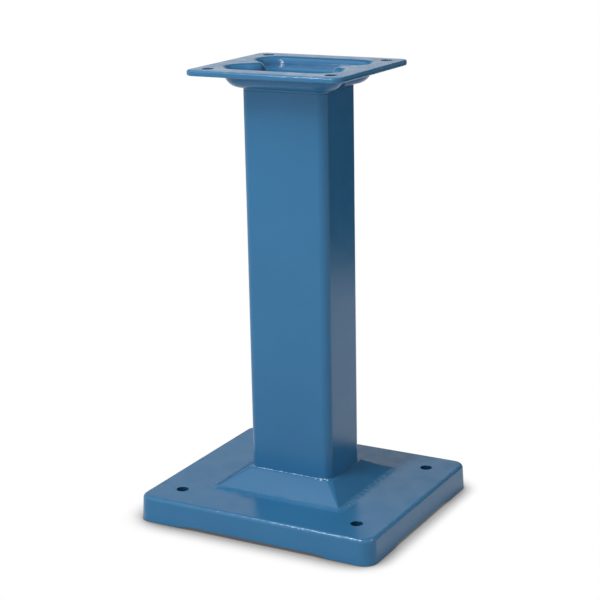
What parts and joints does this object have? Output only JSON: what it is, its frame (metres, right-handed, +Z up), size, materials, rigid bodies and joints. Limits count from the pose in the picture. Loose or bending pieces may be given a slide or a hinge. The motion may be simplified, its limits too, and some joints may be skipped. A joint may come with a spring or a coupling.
{
  "type": "bench grinder stand",
  "caption": "Floor pedestal for a bench grinder: a wide cast base with a pyramid hub, a hollow rectangular column and a drilled top flange round a flared open mouth.",
  "frame": {"origin": "on the floor, under the middle of the base", "axes": "+Z up along the column; -Y is the front, the long side of the base, of the column and of the flange, which faces left and towards the viewer in the picture; +X is the right-hand short side"},
  "size_m": [0.445, 0.391, 0.762],
  "materials": {
    "cast_paint": "semi-gloss steel-blue enamel over a fine cast surface",
    "zinc_steel": "bright zinc plate",
    "black_steel": "black oxide, lightly oiled"
  },
  "bodies": {
    "root": {"base_casting": "cast_paint", "column": "cast_paint", "head_casting": "cast_paint", "base_bolt_1": "zinc_steel", "base_bolt_2": "zinc_steel", "base_bolt_3": "zinc_steel", "base_bolt_4": "zinc_steel", "base_spring_washer_1": "zinc_steel", "base_spring_washer_2": "zinc_steel", "base_spring_washer_3": "zinc_steel", "base_spring_washer_4": "zinc_steel", "base_flat_washer_1": "zinc_steel", "base_flat_washer_2": "zinc_steel", "base_flat_washer_3": "zinc_steel", "base_flat_washer_4": "zinc_steel", "head_screw_1": "black_steel", "head_screw_2": "black_steel", "head_screw_3": "black_steel", "head_screw_4": "black_steel", "head_spring_washer_1": "black_steel", "head_spring_washer_2": "black_steel", "head_spring_washer_3": "black_steel", "head_spring_washer_4": "black_steel", "head_flat_washer_1": "black_steel", "head_flat_washer_2": "black_steel", "head_flat_washer_3": "black_steel", "head_flat_washer_4": "black_steel"}
  },
  "joints": []
}
